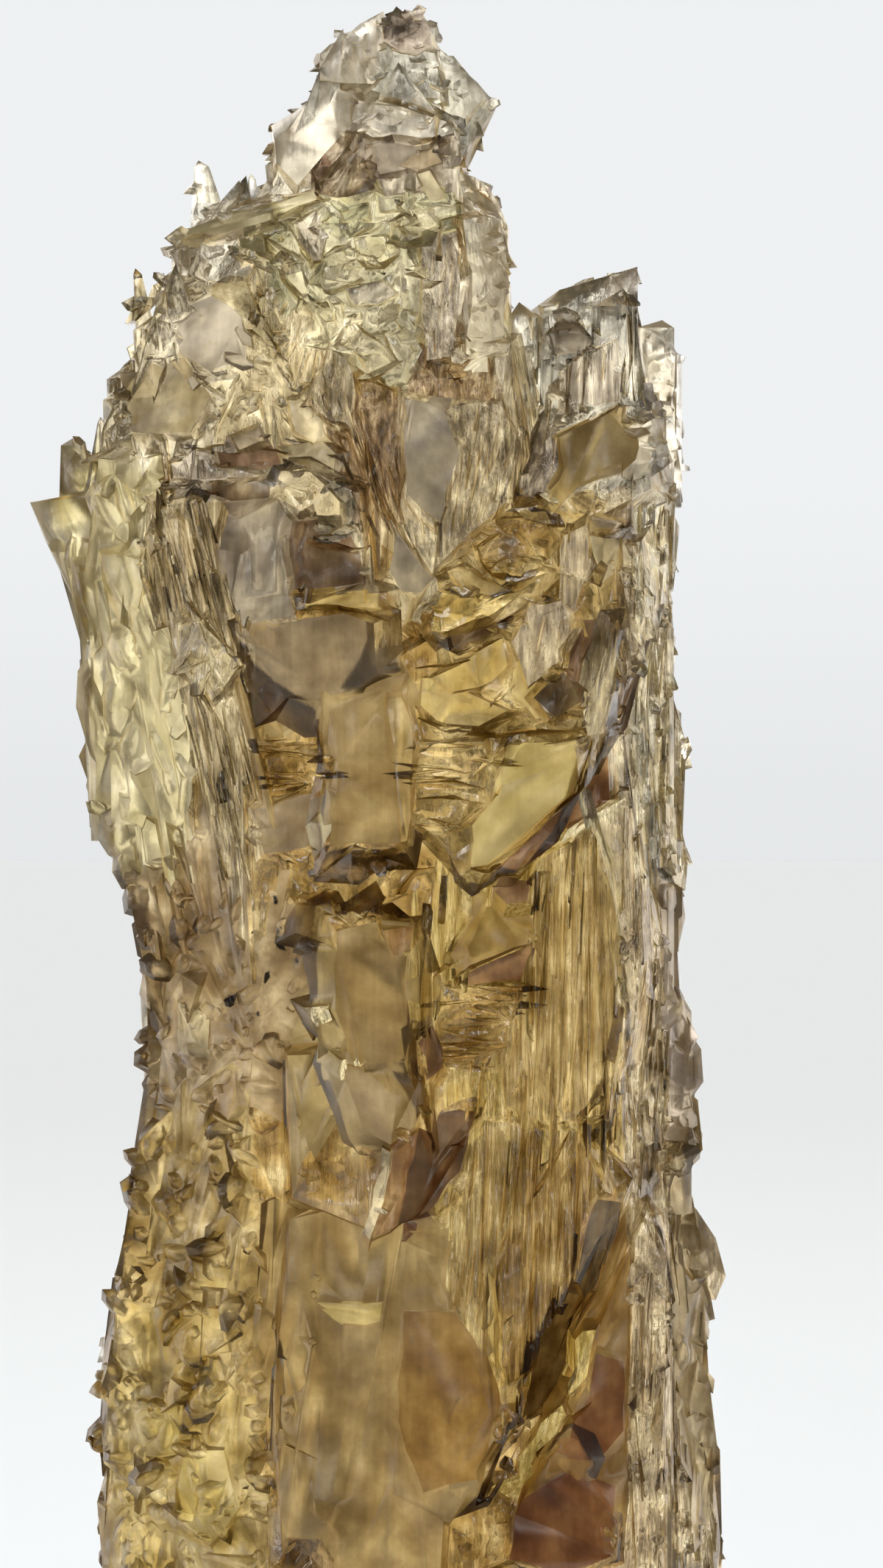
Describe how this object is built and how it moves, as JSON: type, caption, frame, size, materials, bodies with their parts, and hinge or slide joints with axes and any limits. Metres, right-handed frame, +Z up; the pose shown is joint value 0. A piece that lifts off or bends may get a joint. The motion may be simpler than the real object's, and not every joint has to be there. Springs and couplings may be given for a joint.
{
  "type": "barite specimen",
  "caption": "Tall see-through honey-olive crystal specimen with etched, stepped and striated faces and a jagged top, standing upright on a flat break.",
  "frame": {"origin": "centre of the crystal's bounding box at the level of the flat break it stands on", "axes": "+Z up along the long axis to the jagged tip, +X to the right when its best face is seen from the front, +Y towards the back, so the best face looks along -Y"},
  "size_m": [0.0526, 0.0282, 0.135],
  "materials": {
    "crystal": "clear honey-olive crystal, glassy, with etched and finely striated faces"
  },
  "bodies": {
    "root": {"crystal": "crystal"}
  },
  "joints": []
}
